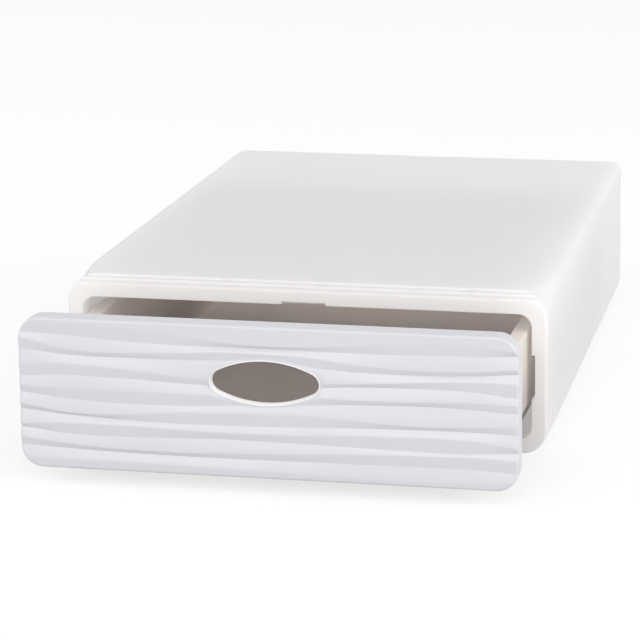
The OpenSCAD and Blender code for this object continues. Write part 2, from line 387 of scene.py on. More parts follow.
def bar(name: str, low: Point, high: Point, round_off: float = 0.0) -> bpy.types.Object:
    """Makes a straight bar between two corners, in millimetres, with eased edges.

    Args:
        name: The piece's name.
        low: Its lowest corner.
        high: Its highest corner.
        round_off: How far its edges are eased.

    Returns:
        The bar.
    """
    piece = added(name, bpy.ops.mesh.primitive_cube_add, size=1)
    size = [b - a for a, b in zip(low, high)]
    middle = [(a + b) / 2 for a, b in zip(low, high)]
    grow = Matrix.Diagonal((*[c * MM for c in size], 1))
    piece.data.transform(Matrix.Translation(Vector(middle) * MM) @ grow)
    if round_off:
        with editing(piece):
            bpy.ops.mesh.select_all(action="SELECT")
            bpy.ops.mesh.bevel(offset=round_off * MM, segments=2, affect="EDGES")
    return piece


def combine(operation: str, piece: bpy.types.Object, *others: bpy.types.Object) -> None:
    """Joins or cuts a piece with others, one by one, which are used up.

    Args:
        operation: UNION or DIFFERENCE.
        piece: The piece that stays.
        others: The pieces that are added or taken away.
    """
    for other in others:
        select_only(piece)
        cut = piece.modifiers.new("fit", "BOOLEAN")
        cut.operation = operation
        cut.solver = "EXACT"
        cut.object = other
        bpy.ops.object.modifier_apply(modifier=cut.name)
        bpy.data.objects.remove(other, do_unlink=True)


def finish_surface(piece: bpy.types.Object, angle: float) -> None:
    """Smooths a piece's shading up to an angle and keeps its flat faces flat.

    Args:
        piece: The piece.
        angle: The sharpest angle that stays smooth, in degrees.
    """
    with editing(piece):
        bpy.ops.mesh.select_all(action="SELECT")
        bpy.ops.mesh.remove_doubles(threshold=MERGE)
        bpy.ops.mesh.dissolve_degenerate(threshold=SLIVER)
    select_only(piece)
    bpy.ops.object.shade_smooth_by_angle(angle=math.radians(angle))
    weigh = piece.modifiers.new("weigh", "WEIGHTED_NORMAL")
    weigh.keep_sharp = True
    weigh.weight = 100
    bpy.ops.object.modifier_apply(modifier=weigh.name)


def dress(piece: bpy.types.Object, finish: Finish, body: str, node: str) -> None:
    """Gives a piece its plastic and lets it stand for a CAD node.

    Args:
        piece: The piece.
        finish: Its plastic.
        body: The body it rides on.
        node: The CAD node it stands for.
    """
    piece.data.materials.clear()
    piece.data.materials.append(finish.value.material())
    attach(piece, body)
    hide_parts(node)
    LOG.info("%s: %d faces", piece.name, len(piece.data.polygons))


def upright_ring(
    half: float, low: float, high: float, r_top: float, r_low: float, y: float, cap: float | None = None
) -> Ring:
    """A rounded rectangle that stands in the X-Z plane.

    Args:
        half: Half its width, in millimetres like the rest.
        low: Height of its lower edge.
        high: Height of its upper edge.
        r_top: Radius of its upper corners.
        r_low: Radius of its lower corners.
        y: Its place along Y.
        cap: Height at which it is cut off flat, if it is.

    Returns:
        Its points in metres, anticlockwise from the right as seen from the front.
    """
    before, after, flat_from = 9, 5, 60.0
    if cap is not None:
        flat_from = math.degrees(math.asin(min(1.0, (cap - high + r_top) / r_top)))
    rise = [flat_from * k / before for k in range(before + 1)]
    rise += [flat_from + (90 - flat_from) * k / after for k in range(1, after + 1)]
    even = [90 * k / (before + after) for k in range(before + after + 1)]
    corners = (
        (half - r_top, high - r_top, r_top, rise),
        (r_top - half, high - r_top, r_top, [180 - turn for turn in reversed(rise)]),
        (r_low - half, low + r_low, r_low, [180 + turn for turn in even]),
        (half - r_low, low + r_low, r_low, [270 + turn for turn in even]),
    )
    ring = []
    for x, z, radius, turns in corners:
        for turn in map(math.radians, turns):
            level = z + radius * math.sin(turn)
            if cap is not None:
                level = min(level, cap)
            ring.append(((x + radius * math.cos(turn)) * MM, y * MM, level * MM))
    return ring


def quarter(steps: int) -> list[tuple[float, float]]:
    """Sine and 1 - cosine along a quarter turn, to round an edge in so many steps."""
    turns = [math.pi / 2 * k / steps for k in range(steps + 1)]
    return [(math.sin(turn), 1 - math.cos(turn)) for turn in turns]


# ---- case


@dataclass
class DrawerCase:
    """The one-piece case, open at the front, with its collar, steps and rails.

    Attributes:
        width: Outside width at the front rim, in millimetres like the rest.
        depth: Depth from rim to back.
        height: Height of the stacking face.
        wall: Wall thickness.
        draft: How far each side closes in towards the back.
        rim_corner: Corner radius of the rim.
        top_corner: Radius of the upper edges behind the shoulder.
        low_corner: Radius of the lower edges.
        collar: Depth of the thick collar.
        rim_round: Rounding of the rim's outer edge.
        rim_side: Width of the rim beside the opening.
        rim_low: Height of the sill.
        opening: Height of the opening.
        opening_corner: Corner radius of the opening.
        step: Drop of each step in front of the stacking face.
        step_front: Distance of the first step from the front.
        step_pitch: Distance between the steps.
        shoulder: Distance from the front at which the upper edges are narrow.
        clip: Length of the notches for joining clips.
        clip_deep: Their depth.
        ease: Rounding of the steps' edges.
        back_round: Rounding of the back's outer edge.
        inner_corner: Corner radius of the inside behind the collar.
        roof_rise: How much the roof inside rises towards the back.
        floor_rail: Distance of the floor rails from the middle.
        rail_half: Half their width.
        side_rail: Distances of the side rails' edges from the middle.
        side_rail_z: Heights of their underside and top.
        side_rail_start: Their distance behind the rim.
        side_rail_draft: How far their outer edges close in at the back.
        side_rail_lead: How much narrower they start.
    """

    width: float = 270
    depth: float = 370
    height: float = 89
    wall: float = 2.5
    draft: float = 5.5
    rim_corner: float = 14
    top_corner: float = 6
    low_corner: float = 12
    collar: float = 12
    rim_round: float = 1.6
    rim_side: float = 8.5
    rim_low: float = 8
    opening: float = 70.3
    opening_corner: float = 7.5
    step: float = 1.25
    step_front: float = 7
    step_pitch: float = 4.5
    shoulder: float = 48
    clip: float = 25
    clip_deep: float = 2
    ease: float = 0.5
    back_round: float = 0.9
    inner_corner: float = 11.5
    roof_rise: float = 2
    floor_rail: float = 80
    rail_half: float = 3
    side_rail: tuple[float, float] = (119.5, 132.4)
    side_rail_z: tuple[float, float] = (24, 26.4)
    side_rail_start: float = 40
    side_rail_draft: float = 4.8
    side_rail_lead: float = 3
    front: float = field(init=False)
    rim_top: float = field(init=False)

    def __post_init__(self) -> None:
        """Works out where the front is and how high the rim is."""
        self.front = -self.depth / 2
        self.rim_top = self.height - 2 * self.step

    def inset(self, back: float) -> float:
        """How far each side has closed in at a distance behind the rim."""
        return self.draft * back / self.depth

    def outer(self, back: float, smaller: float = 0.0, cap: float | None = None) -> Ring:
        """The outside at a distance behind the rim.

        Args:
            back: The distance.
            smaller: How far the whole outline is drawn in.
            cap: Height at which the outline is cut off flat, if it is.

        Returns:
            The ring.
        """
        share = eased((back - self.step_front) / (self.shoulder - self.step_front))
        r_top = self.rim_corner + (self.top_corner - self.rim_corner) * share
        r_low = self.rim_corner + (self.low_corner - self.rim_corner) * min(1.0, back / self.shoulder)
        half = self.width / 2 - self.inset(back) - smaller
        high = self.height - smaller
        return upright_ring(half, smaller, high, r_top - smaller, r_low - smaller, self.front + back, cap)

    def cavity(self, back: float, smaller: float = 0.0) -> Ring:
        """The inside at a distance behind the rim, like the outside less the wall.

        Args:
            back: The distance.
            smaller: How far the whole outline is drawn in.

        Returns:
            The ring.
        """
        start, end = self.collar, self.depth - self.wall
        share = (back - start) / (end - start)
        half = self.width / 2 - self.wall - self.inset(end) * share
        top = self.height - self.wall - self.roof_rise * (1 - share)
        r_top = self.inner_corner + (self.top_corner - self.wall - self.inner_corner) * share
        r_low = self.inner_corner - smaller
        at = self.front + back
        return upright_ring(half - smaller, self.wall + smaller, top - smaller, r_top - smaller, r_low, at)

    def mouth(self, back: float, wider: float = 0.0) -> Ring:
        """The opening's outline at a distance behind the rim.

        Args:
            back: The distance.
            wider: How far it is drawn outwards.

        Returns:
            The ring.
        """
        half, radius = self.width / 2 - self.rim_side + wider, self.opening_corner + wider
        low, high = self.rim_low - wider, self.rim_low + self.opening + wider
        return upright_ring(half, low, high, radius, radius, self.front + back)

    def rings(self) -> list[Ring]:
        """All stations from the inside of the back wall, round the rim, to its outside.

        Returns:
            The rings.
        """
        end, collar, fillet, stations = self.depth - self.wall, self.collar, 2.0, 6
        found = [self.cavity(end - fillet * c, fillet * (1 - s)) for s, c in quarter(4)]
        found += [self.cavity(end - (end - collar) * k / stations) for k in range(1, stations + 1)]
        inside = ((collar, 0.6), (collar - 0.4, 0.15), (collar - 1, 0))
        lip = ((0.7, 0), (0.3, 0.1), (0.08, 0.35), (0, 0.7))
        found += [self.mouth(back, wider) for back, wider in inside + lip]
        r, ease, edge = self.rim_round, self.ease, self.back_round
        found += [self.outer(r * c, r * (1 - s), self.rim_top - r * (1 - s)) for s, c in quarter(8)]
        for k, back in enumerate((self.step_front, self.step_front + self.step_pitch)):
            low = self.rim_top + k * self.step
            high = low + self.step
            found += [self.outer(back - ease, 0, low), self.outer(back, 0, low + ease)]
            found += [self.outer(back, 0, high - ease), self.outer(back + ease, 0, high)]
        found += [self.outer(back) for back in (*range(14, 45, 3), 48, 54, 90, 150, 220, 290, 350)]
        found += [self.outer(self.depth - edge * (1 - s), edge * c) for s, c in quarter(4)]
        return found

    def rails(self) -> list[bpy.types.Object]:
        """The floor rails that carry the tray and the side rails under its long lips.

        Returns:
            The rails.
        """
        made = []
        start, end = self.front + self.collar - 0.5, self.front + self.depth - self.wall + 0.4
        for side in (-1, 1):
            low = side * self.floor_rail - self.rail_half, start, self.wall - 0.4
            high = side * self.floor_rail + self.rail_half, end, self.rim_low
            made.append(bar("floor_rail", low, high, 0.4))
            near, far = sorted(side * x for x in self.side_rail)
            (under, over), middle = self.side_rail_z, sum(self.side_rail) / 2 * MM
            rail = bar("side_rail", (near, self.front + self.side_rail_start, under), (far, end, over), 0.3)
            for vertex in rail.data.vertices:
                outside = abs(vertex.co.x) > middle
                if outside and vertex.co.y > 0:
                    vertex.co.x -= side * self.side_rail_draft * MM
                elif not outside and vertex.co.y < 0:
                    vertex.co.x += side * self.side_rail_lead * MM
            made.append(rail)
        return made

    def notches(self) -> list[bpy.types.Object]:
        """Waste for the notches that take joining clips.

        Returns:
            The bars that are cut away.
        """
        half, deep, side_z, long = self.clip / 2, self.clip_deep, self.rim_top / 2, 5
        low, top, front, back = self.rim_low, self.rim_low + self.opening, self.front, self.front + self.depth
        made = [
            bar("notch", (-half, front - 1, top - 1), (half, front + long, top + deep)),
            bar("notch", (-half, front - 1, low - deep), (half, front + long, low + 1)),
            bar("notch", (-half, back - deep, self.height - 1), (half, back + 1, self.height + 1)),
        ]
        for side in (-1, 1):
            x = side * (self.width / 2 - self.rim_side)
            end = front + self.collar + 1
            made.append(bar("notch", (x - deep, front - 1, side_z - half), (x + deep, end, side_z + half)))
        return made

    def build(self) -> bpy.types.Object:
        """Builds and dresses the case.

        Returns:
            The case.
        """
        shell = loft("case_shell", self.rings())
        combine("DIFFERENCE", shell, *self.notches())
        combine("UNION", shell, *self.rails())
        finish_surface(shell, angle=38)
        dress(shell, Finish.CASE, "case", "case")
        return shell


# ---- panel


@dataclass
class HandHole:
    """The four-centred oval hand hole.

    Attributes:
        length: Its length in millimetres.
        height: Its height.
        tip: Radius of its two ends.
        centre: Height of its middle above the base.
    """

    length: float = 58.5
    height: float = 23.5
    tip: float = 6.6
    centre: float = 59.5

    def centres(self) -> tuple[float, float, float]:
        """Where the oval's four arcs have their centres.

        Returns:
            Distance of the tips' centres, radius of the long arcs and distance of their centres.
        """
        reach = self.length / 2 - self.tip
        big = (self.height**2 / 4 + reach**2 - self.tip**2) / (self.height - 2 * self.tip)
        return reach, big, big - self.height / 2

    def ring(self, y: float, wider: float = 0.0) -> Ring:
        """The oval at a place along Y.

        Args:
            y: The place in millimetres.
            wider: How far it is drawn outwards.

        Returns:
            Its points in metres, anticlockwise from the right as seen from the front.
        """
        reach, big, drop = self.centres()
        meet = math.atan2(drop, reach)
        ends, sides = 12, 30
        ring = []
        arcs = (
            (reach, 0.0, self.tip, -meet, meet, ends),
            (0.0, -drop, big, meet, math.pi - meet, sides),
            (-reach, 0.0, self.tip, math.pi - meet, math.pi + meet, ends),
            (0.0, drop, big, math.pi + meet, 2 * math.pi - meet, sides),
        )
        for x, z, radius, first, last, steps in arcs:
            for k in range(steps):
                turn = first + (last - first) * k / steps
                far = radius + wider
                across, level = x + far * math.cos(turn), self.centre + z + far * math.sin(turn)
                ring.append((across * MM, y * MM, level * MM))
        return ring

    def distance(self, x: float, z: float) -> float:
        """Distance of a point of the panel from the hole's edge.

        Args:
            x: Its place across the panel.
            z: Its height above the base.

        Returns:
            The distance in millimetres, less than 0 inside the hole.
        """
        reach, big, drop = self.centres()
        x, z = abs(x), abs(z - self.centre)
        if (x - reach) * drop > z * reach:
            return math.hypot(x - reach, z) - self.tip
        return math.hypot(x, z + drop) - big

    def waste(self, start: float, end: float) -> bpy.types.Object:
        """An oval bar to cut the hole with, from start to end along Y."""
        return loft("hole", [self.ring(start), self.ring(end)])


# Both wave tables were picked, smoothed and rounded by hand from the printed output of a scratch script
# that followed the creases.
# Round the hand hole, at the ends and in the last row they were set one by one.
# Foot of each wave above the panel's lower edge, at even steps from the left side to the right
FEET = (
    (74, 73.5, 72, 70.8, 70.3, 70.4, 70.4, 70.3, 70.2, 70.3, 71, 71.2, 72.2),
    (65.2, 62.8, 62.1, 62.2, 62.4, 63.2, 63.6, 62, 60.2, 59.7, 59.9, 60.9, 62.6),
    (50, 51.4, 51.2, 50.7, 49.6, 49.4, 50, 50.4, 51.7, 52.5, 52.8, 52.3, 50),
    (41.2, 38.9, 37.5, 37.2, 37.6, 38.7, 40, 41, 42.2, 42.8, 43.3, 42.8, 41.6),
    (31.9, 29.9, 28.7, 28, 27.6, 27.9, 28.3, 29, 29.8, 30.3, 30.7, 30.7, 30.3),
    (21.9, 19.6, 18.8, 19.2, 19.8, 20.4, 20.2, 20, 19.6, 19.3, 19, 19.4, 20.5),
    (12.2, 11.2, 10.5, 10.1, 9.8, 9.8, 10, 10.4, 10.4, 10.7, 10.8, 10.8, 9.8),
    (0, 0, 0, 0, 0, 0, 0, 0, 0, 0, 0, 0, 0),
)
# Height of the slope from each wave's crest down to its foot, at the same steps
SLOPES = (
    (5, 6.5, 7.2, 7.2, 5.4, 2.6, 1.7, 2.3, 3.9, 5.3, 6.3, 5.7, 2.3),
    (5.9, 3.8, 2.5, 3.1, 3.8, 4.5, 4, 5, 4.2, 3.3, 2.7, 2.6, 2.4),
    (6.4, 6.3, 5.6, 4.4, 3.7, 3.5, 3, 2.6, 2.2, 2.6, 3.9, 5.5, 7.3),
    (3.8, 5.4, 6.6, 6.9, 6.5, 5.5, 5, 4.5, 3, 2.6, 2.7, 3.8, 4.6),
    (2.9, 1.7, 2.1, 4.1, 6.3, 6.6, 7, 6.3, 4.4, 2.8, 2.1, 3, 4.6),
    (2, 5.3, 6.4, 5.9, 4.5, 3.5, 4, 4.6, 6.2, 6.8, 7.7, 6.6, 2.8),
    (4.3, 3.1, 2.2, 2.1, 2.4, 3.1, 3.7, 4.1, 5.3, 5.8, 6.2, 6.6, 6.5),
    (5.5, 5, 5, 5, 4.8, 4.2, 4, 3.3, 3, 3, 3, 3.5, 4),
)
# Rows of a wave, as shares of the way from its upper end over the crest at 0.5 to its foot
FACE_ROWS = (0.14, 0.2, 0.26, 0.32, 0.38, 0.43, 0.47, 0.5)
FACE_START = (0.02, 0.05, 0.09)
TOP_START = (0, 0.006, 0.015, 0.03, 0.05, 0.075, 0.1)
SLOPE_ROWS = (0.53, 0.57, 0.62, 0.68, 0.74, 0.8, 0.86, 0.92, 0.97, 1)
LAST_ROWS = (0.55, 0.6, 0.66, 0.72, 0.78, 0.84, 0.89, 0.93, 0.96, 0.98, 0.993, 1)


@dataclass
class FrontPanel:
    """The front panel with its wave relief, skirt, hand hole and snap hooks.

    Attributes:
        width: Its width in millimetres, like the rest.
        height: Its height.
        thick: Its thickness with the skirt.
        low: Height of its lower edge above the base.
        corner: Its corner radius.
        skirt: Thickness of the skirt.
        skin: Thickness of the skin at the crests.
        front: Place of its front face along Y.
        wave: Height of the waves.
        edge: Rounding of its front edge.
        hole: The hand hole.
        bead: Width of the bead round the hole.
        taper: How much narrower the hole is at the skin's back, as mould draft.
        level: How far the face lies behind the front round the hole.
        fade: Width over which the waves fade into it.
        hook_x: Distance of the snap hooks from the middle.
        hook_z: Their heights.
    """

    width: float = 268
    height: float = 82.4
    thick: float = 12
    low: float = 7.5
    corner: float = 12
    skirt: float = 2.2
    skin: float = 3.2
    front: float = -278.6
    wave: float = 0.8
    edge: float = 1.2
    hole: HandHole = field(default_factory=HandHole)
    bead: float = 0.55
    taper: float = 0.6
    level: float = 0.55
    fade: float = 2
    hook_x: float = 126
    hook_z: tuple[float, float] = (30, 58)

    def columns(self) -> list[float]:
        """Places across the panel, closer together in the corners.

        Returns:
            The places, from the left to the right.
        """
        flat, steps = self.width / 2 - self.corner, 190
        bend = [flat + self.corner * s for s, _ in quarter(18)[1:]]
        middle = [flat * (2 * i / steps - 1) for i in range(steps + 1)]
        return [-x for x in reversed(bend)] + middle + bend

    def rows(self) -> list[tuple[int, float]]:
        """Rows of the face from the top down.

        Returns:
            The wave and the share of the way from its upper end to its foot, for each row.
        """
        found = []
        for k in range(len(FEET)):
            face = (TOP_START if k == 0 else FACE_START) + FACE_ROWS
            slope = LAST_ROWS if k == len(FEET) - 1 else SLOPE_ROWS
            found += [(k, share) for share in face + slope]
        return found

    def levels(self, x: float) -> Levels:
        """Works out the waves at a place across the panel.

        Args:
            x: The place.

        Returns:
            Crest, foot and depth of every wave, from the top down.
        """
        soft_slope, sharp_slope, deeper, last_wave = 5.5, 2.5, 0.6, 0.4
        found, top = [], self.height
        for feet, slopes in zip(FEET, SLOPES):
            foot, slope = self.along(feet, x), self.along(slopes, x)
            sharp = min(1.0, max(0.0, (soft_slope - slope) / (soft_slope - sharp_slope)))
            depth = self.wave * (1 + deeper * sharp) if foot > 0 else self.wave * last_wave
            found.append((min(foot + slope, top - 0.5 * min(1.0, top - foot)), foot, depth))
            top = foot
        return found

    def along(self, values: tuple[float, ...], x: float) -> float:
        """Value of a smooth curve through values at even steps across the panel.

        Args:
            values: The values.
            x: Where the curve is read.

        Returns:
            The value.
        """
        last = len(values) - 1
        place = min(max((x / self.width + 0.5) * last, 0.0), float(last))
        k = min(int(place), last - 1)
        t = place - k
        a, b, c, d = (values[min(max(i, 0), last)] for i in range(k - 1, k + 3))
        return b + t * ((c - a) / 2 + t * (a - 2.5 * b + 2 * c - d / 2 + t * (1.5 * (b - c) + (d - a) / 2)))

    def height_of(self, row: tuple[int, float], levels: Levels) -> float:
        """Height of a row above the panel's lower edge.

        Args:
            row: The row, as rows() gives it.
            levels: The waves' crests, feet and depths there.

        Returns:
            The height.
        """
        k, share = row
        top = self.height if k == 0 else levels[k - 1][1]
        crest, foot, _ = levels[k]
        return top + (crest - top) * share * 2 if share < 0.5 else crest + (foot - crest) * (share * 2 - 1)

    def relief_at(self, z: float, levels: Levels) -> float:
        """How far the face lies behind the crests.

        Args:
            z: The height above the panel's lower edge.
            levels: The waves' crests, feet and depths there.

        Returns:
            The distance.
        """
        face_curve, slope_curve = 1.4, 1.2
        top, before = self.height, 0.0
        for crest, foot, depth in levels:
            if z >= crest:
                return before * (1 - (top - z) / (top - crest)) ** face_curve
            if z >= foot:
                return depth * ((crest - z) / (crest - foot)) ** slope_curve
            top, before = foot, depth
        return before

    def drawn_in(self, z: float, x: float) -> float:
        """Draws a height in where the corners cut the panel's height.

        Args:
            z: The height above the panel's lower edge.
            x: The place across the panel.

        Returns:
            The height inside the outline.
        """
        over = max(0.0, abs(x) - self.width / 2 + self.corner)
        half = self.height / 2 - self.corner + math.sqrt(max(0.0, self.corner**2 - over**2))
        middle, strip = self.height / 2, 3.0
        border = half - strip
        away = abs(z - middle)
        if away <= border:
            return z
        return middle + math.copysign(border + strip * (away - border) / (middle - border), z - middle)

    def from_edge(self, x: float, z: float) -> float:
        """Distance of a point of the face from the panel's outline.

        Args:
            x: Its place across the panel.
            z: Its height above the panel's lower edge.

        Returns:
            The distance.
        """
        p = abs(x) - self.width / 2 + self.corner
        q = abs(z - self.height / 2) - self.height / 2 + self.corner
        return self.corner - math.hypot(max(p, 0), max(q, 0)) - min(max(p, q), 0)

    def drop_at(self, x: float, z: float, levels: Levels) -> float:
        """How far a point of the face lies behind the front.

        Args:
            x: Its place across the panel.
            z: Its height above the panel's lower edge.
            levels: The waves' crests, feet and depths there.

        Returns:
            The distance in millimetres.
        """
        inset = max(0.0, self.from_edge(x, z))
        edge = 0.0
        if inset < self.edge:
            edge = self.edge - math.sqrt(max(0.0, self.edge**2 - (self.edge - inset) ** 2))
        wave = self.relief_at(z, levels)
        away = self.hole.distance(x, z + self.low) - self.bead
        near = eased(1 - away / self.fade)
        return wave + (self.level - wave) * near + edge

    def face(self) -> bpy.types.Object:
        """The relief as a closed skin of even back, wrapped over the rounded outline.

        Returns:
            The skin with its skirt, without the hand hole.
        """
        xs, rows = self.columns(), self.rows()
        levels = [self.levels(x) for x in xs]
        wide, tall = len(xs) - 1, len(rows) - 1
        grid = {"x_subdivisions": wide, "y_subdivisions": tall, "size": 2}
        piece = added("wave_panel", bpy.ops.mesh.primitive_grid_add, **grid)
        with editing(piece) as shape:
            shape.verts.ensure_lookup_table()
            for vertex in shape.verts:
                i, j = round((vertex.co.x + 1) / 2 * wide), round((1 - vertex.co.y) / 2 * tall)
                z = self.drawn_in(self.height_of(rows[j], levels[i]), xs[i])
                y = self.front + self.drop_at(xs[i], z, levels[i])
                vertex.co = (xs[i] * MM, y * MM, (z + self.low) * MM)
            bpy.ops.mesh.select_all(action="DESELECT")
            bpy.ops.mesh.select_mode(type="EDGE")
            bpy.ops.mesh.select_non_manifold()
            thick, ease = self.thick, 0.4
            for back, inwards in (
                (thick - ease, 0.0),
                (thick - ease / 4, ease / 4),
                (thick, ease),
                (thick, self.skirt - ease),
                (thick - ease, self.skirt),
                (self.skin, self.skirt),
            ):
                bpy.ops.mesh.extrude_edges_move()
                shape = bmesh.from_edit_mesh(piece.data)
                for vertex in [v for v in shape.verts if v.select]:
                    vertex.co = self.skirt_point(vertex.co, back, inwards)
            bpy.ops.mesh.edge_face_add()
            bpy.ops.mesh.select_all(action="SELECT")
            bpy.ops.mesh.normals_make_consistent(inside=False)
        return piece

    def skirt_point(self, at: Vector, back: float, inwards: float) -> Vector:
        """Puts a point of the skirt's outline at a depth, drawn in from the outside.

        Args:
            at: The point as it was, in metres.
            back: Its new distance behind the front, in millimetres.
            inwards: Its new distance inside the outline.

        Returns:
            The new point in metres.
        """
        middle = self.low + self.height / 2
        x, z = at.x / MM, at.z / MM - middle
        flat_x, flat_z = self.width / 2 - self.corner, self.height / 2 - self.corner
        cx, cz = max(-flat_x, min(flat_x, x)), max(-flat_z, min(flat_z, z))
        out = Vector((x - cx, z - cz))
        radius = self.corner - inwards
        if out.length > 1e-6:
            out = out.normalized() * radius
        return Vector(((cx + out.x) * MM, (self.front + back) * MM, (cz + out.y + middle) * MM))

    def rim_of_hole(self) -> bpy.types.Object:
        """An oval boss with a rounded front edge, which the hole is then cut through.

        Returns:
            The boss.
        """
        half, sunk = self.bead / 2, 0.4
        rings = [self.hole.ring(self.front + self.skin - sunk, self.bead)]
        rings += [self.hole.ring(self.front + half * (1 - s), half * (2 - c)) for s, c in quarter(6)]
        return loft("bead", rings)

    def bore(self) -> bpy.types.Object:
        """Waste for the hole, flared at the front so that the bead is round.

        Returns:
            The oval bar that is cut away.
        """
        half, hair, past = self.bead / 2, 0.002, 2
        rings = [self.hole.ring(self.front - 1, 2 * self.bead), self.hole.ring(self.front - hair, half)]
        rings += [self.hole.ring(self.front + half * c, half * (1 - s)) for s, c in quarter(6)[1:]]
        narrower = self.taper * (self.skin + past - half) / (self.skin - half)
        rings.append(self.hole.ring(self.front + self.skin + past, -narrower))
        return loft("bore", rings)

    def hooks(self) -> list[bpy.types.Object]:
        """The snap hooks that grip the tray's plate from behind.

        Returns:
            The hooks and their barbs.
        """
        made, back = [], self.front + self.skin
        half, tall, ease = 1, 4, 0.2
        for side in (-1, 1):
            for z in self.hook_z:
                x, low, high = side * self.hook_x, z - tall, z + tall
                made.append(bar("hook", (x - half, back - 0.5, low), (x + half, back + 4.6, high), ease))
                near, far = sorted((x + side * 0.4, x + side * 2.0))
                made.append(bar("barb", (near, back + 2.6, low), (far, back + 4.4, high), ease))
        return made

    def build(self) -> bpy.types.Object:
        """Builds and dresses the front panel.

        Returns:
            The panel.
        """
        panel = self.face()
        combine("UNION", panel, self.rim_of_hole())
        combine("DIFFERENCE", panel, self.bore())
        combine("UNION", panel, *self.hooks())
        finish_surface(panel, angle=32)
        dress(panel, Finish.PANEL, "drawer", "front_panel")
        self.paint_bead_highlight(panel)
        return panel

    def paint_bead_highlight(self, panel: bpy.types.Object) -> None:
        """Paints the bead round the hole and the hole's wall paler and warmer than the panel, a painted
        highlight standing in for the light they catch.

        Args:
            panel: The dressed panel.
        """
        # Painted highlight on the bead and the hole's wall.
        panel.data.materials.append(Finish.BEAD.value.material())
        slack = 0.05
        for face in panel.data.polygons:
            x, y, z = (c / MM for c in face.center)
            behind, away = y - self.front - self.skin, self.hole.distance(x, z) - self.bead
            if behind < 2 * slack and away < slack:
                face.material_index = 1


# ---- tray


